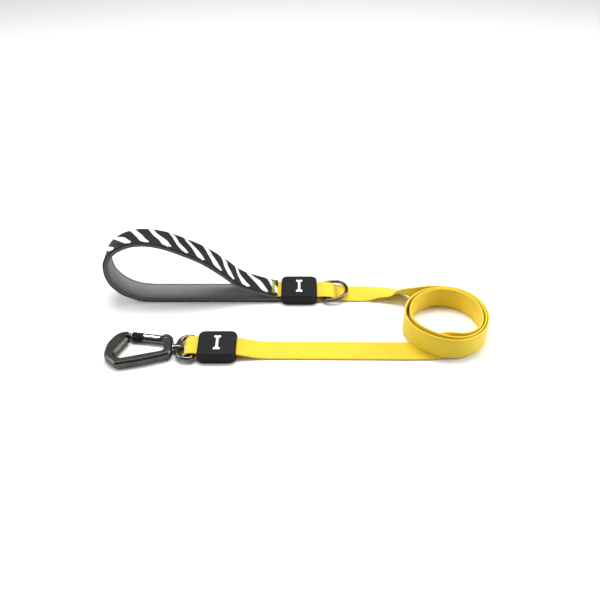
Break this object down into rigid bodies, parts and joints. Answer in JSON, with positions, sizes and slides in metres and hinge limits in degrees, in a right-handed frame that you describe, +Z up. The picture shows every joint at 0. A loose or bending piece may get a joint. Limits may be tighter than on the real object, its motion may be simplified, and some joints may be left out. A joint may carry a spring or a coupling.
{
  "type": "dog leash",
  "caption": "Flat webbing dog leash with a padded hand loop, an accessory ring, rubber keepers, and a swivel carabiner with a sprung gate and sliding lock, partly coiled.",
  "frame": {"origin": "centre of the footprint of the hand loop and hardware, without the free webbing, on the surface they lie on", "axes": "+X from the hand loop towards the coil, +Y from the hook side to the hand loop side, +Z up"},
  "size_m": [0.3255, 0.108, 0.0646],
  "materials": {
    "webbing": "bright yellow woven polyester webbing, ribbed, slight sheen",
    "stripe_print": "black cloth printed with slanted white stripes",
    "neoprene": "grey knit-faced neoprene, matt",
    "thread": "yellow-green sewing thread",
    "black_rubber": "black soft rubber, fine matt grain",
    "white_rubber": "white soft rubber, matt",
    "gunmetal_steel": "dark nickel plating, satin gloss",
    "gunmetal_alloy": "dark grey anodised alloy, satin",
    "bright_steel": "polished steel",
    "black_alloy": "black anodised alloy, knurled"
  },
  "bodies": {
    "leash": {"handle_core": "webbing", "handle_cover": "stripe_print", "handle_pad": "neoprene", "handle_bartack": "thread", "handle_sleeve": "black_rubber", "handle_sleeve_mark": "white_rubber", "handle_join_stitching": "thread", "ring_tab": "webbing", "webbing_upper_run": "webbing", "webbing_coil": "webbing", "webbing_lower_run": "webbing", "hook_sleeve": "black_rubber", "hook_sleeve_mark": "white_rubber", "hook_join_stitching": "thread", "hook_loop": "webbing"},
    "d_ring": {"d_ring": "gunmetal_steel"},
    "swivel_ring": {"swivel_ring": "gunmetal_steel"},
    "hook": {"carabiner_frame": "gunmetal_alloy", "gate_pivot_pin": "bright_steel", "swivel_stem": "gunmetal_steel", "swivel_washer": "bright_steel"},
    "gate": {"gate_barrel": "bright_steel", "gate_push_rod": "bright_steel", "gate_spring": "bright_steel"},
    "lock": {"locking_sleeve": "black_alloy"}
  },
  "joints": [
    {"name": "d_ring_hinge", "type": "hinge", "parent": "leash", "child": "d_ring", "pos_m": [0.084, 0.0397, 0.0032], "axis": [0, -1, 0], "range_deg": [0, 110]},
    {"name": "swivel_ring_hinge", "type": "hinge", "parent": "leash", "child": "swivel_ring", "pos_m": [-0.0245, -0.0324, 0.0038], "axis": [0, 1, 0], "range_deg": [0, 75]},
    {"name": "hook_swivel", "type": "hinge", "parent": "swivel_ring", "child": "hook", "pos_m": [-0.0377, -0.0324, 0.0038], "axis": [1, 0, 0], "continuous": true},
    {"name": "gate_hinge", "type": "hinge", "parent": "hook", "child": "gate", "pos_m": [-0.0477, -0.0235, 0.0038], "axis": [0, 0, 1], "range_deg": [0, 28], "stiffness_Nm_per_rad": 0.02, "springref_deg": -22.92},
    {"name": "lock_slide", "type": "slide", "parent": "gate", "child": "lock", "axis": [-0.9877, 0.1564, 0], "range_m": [0, 0.0037]}
  ]
}
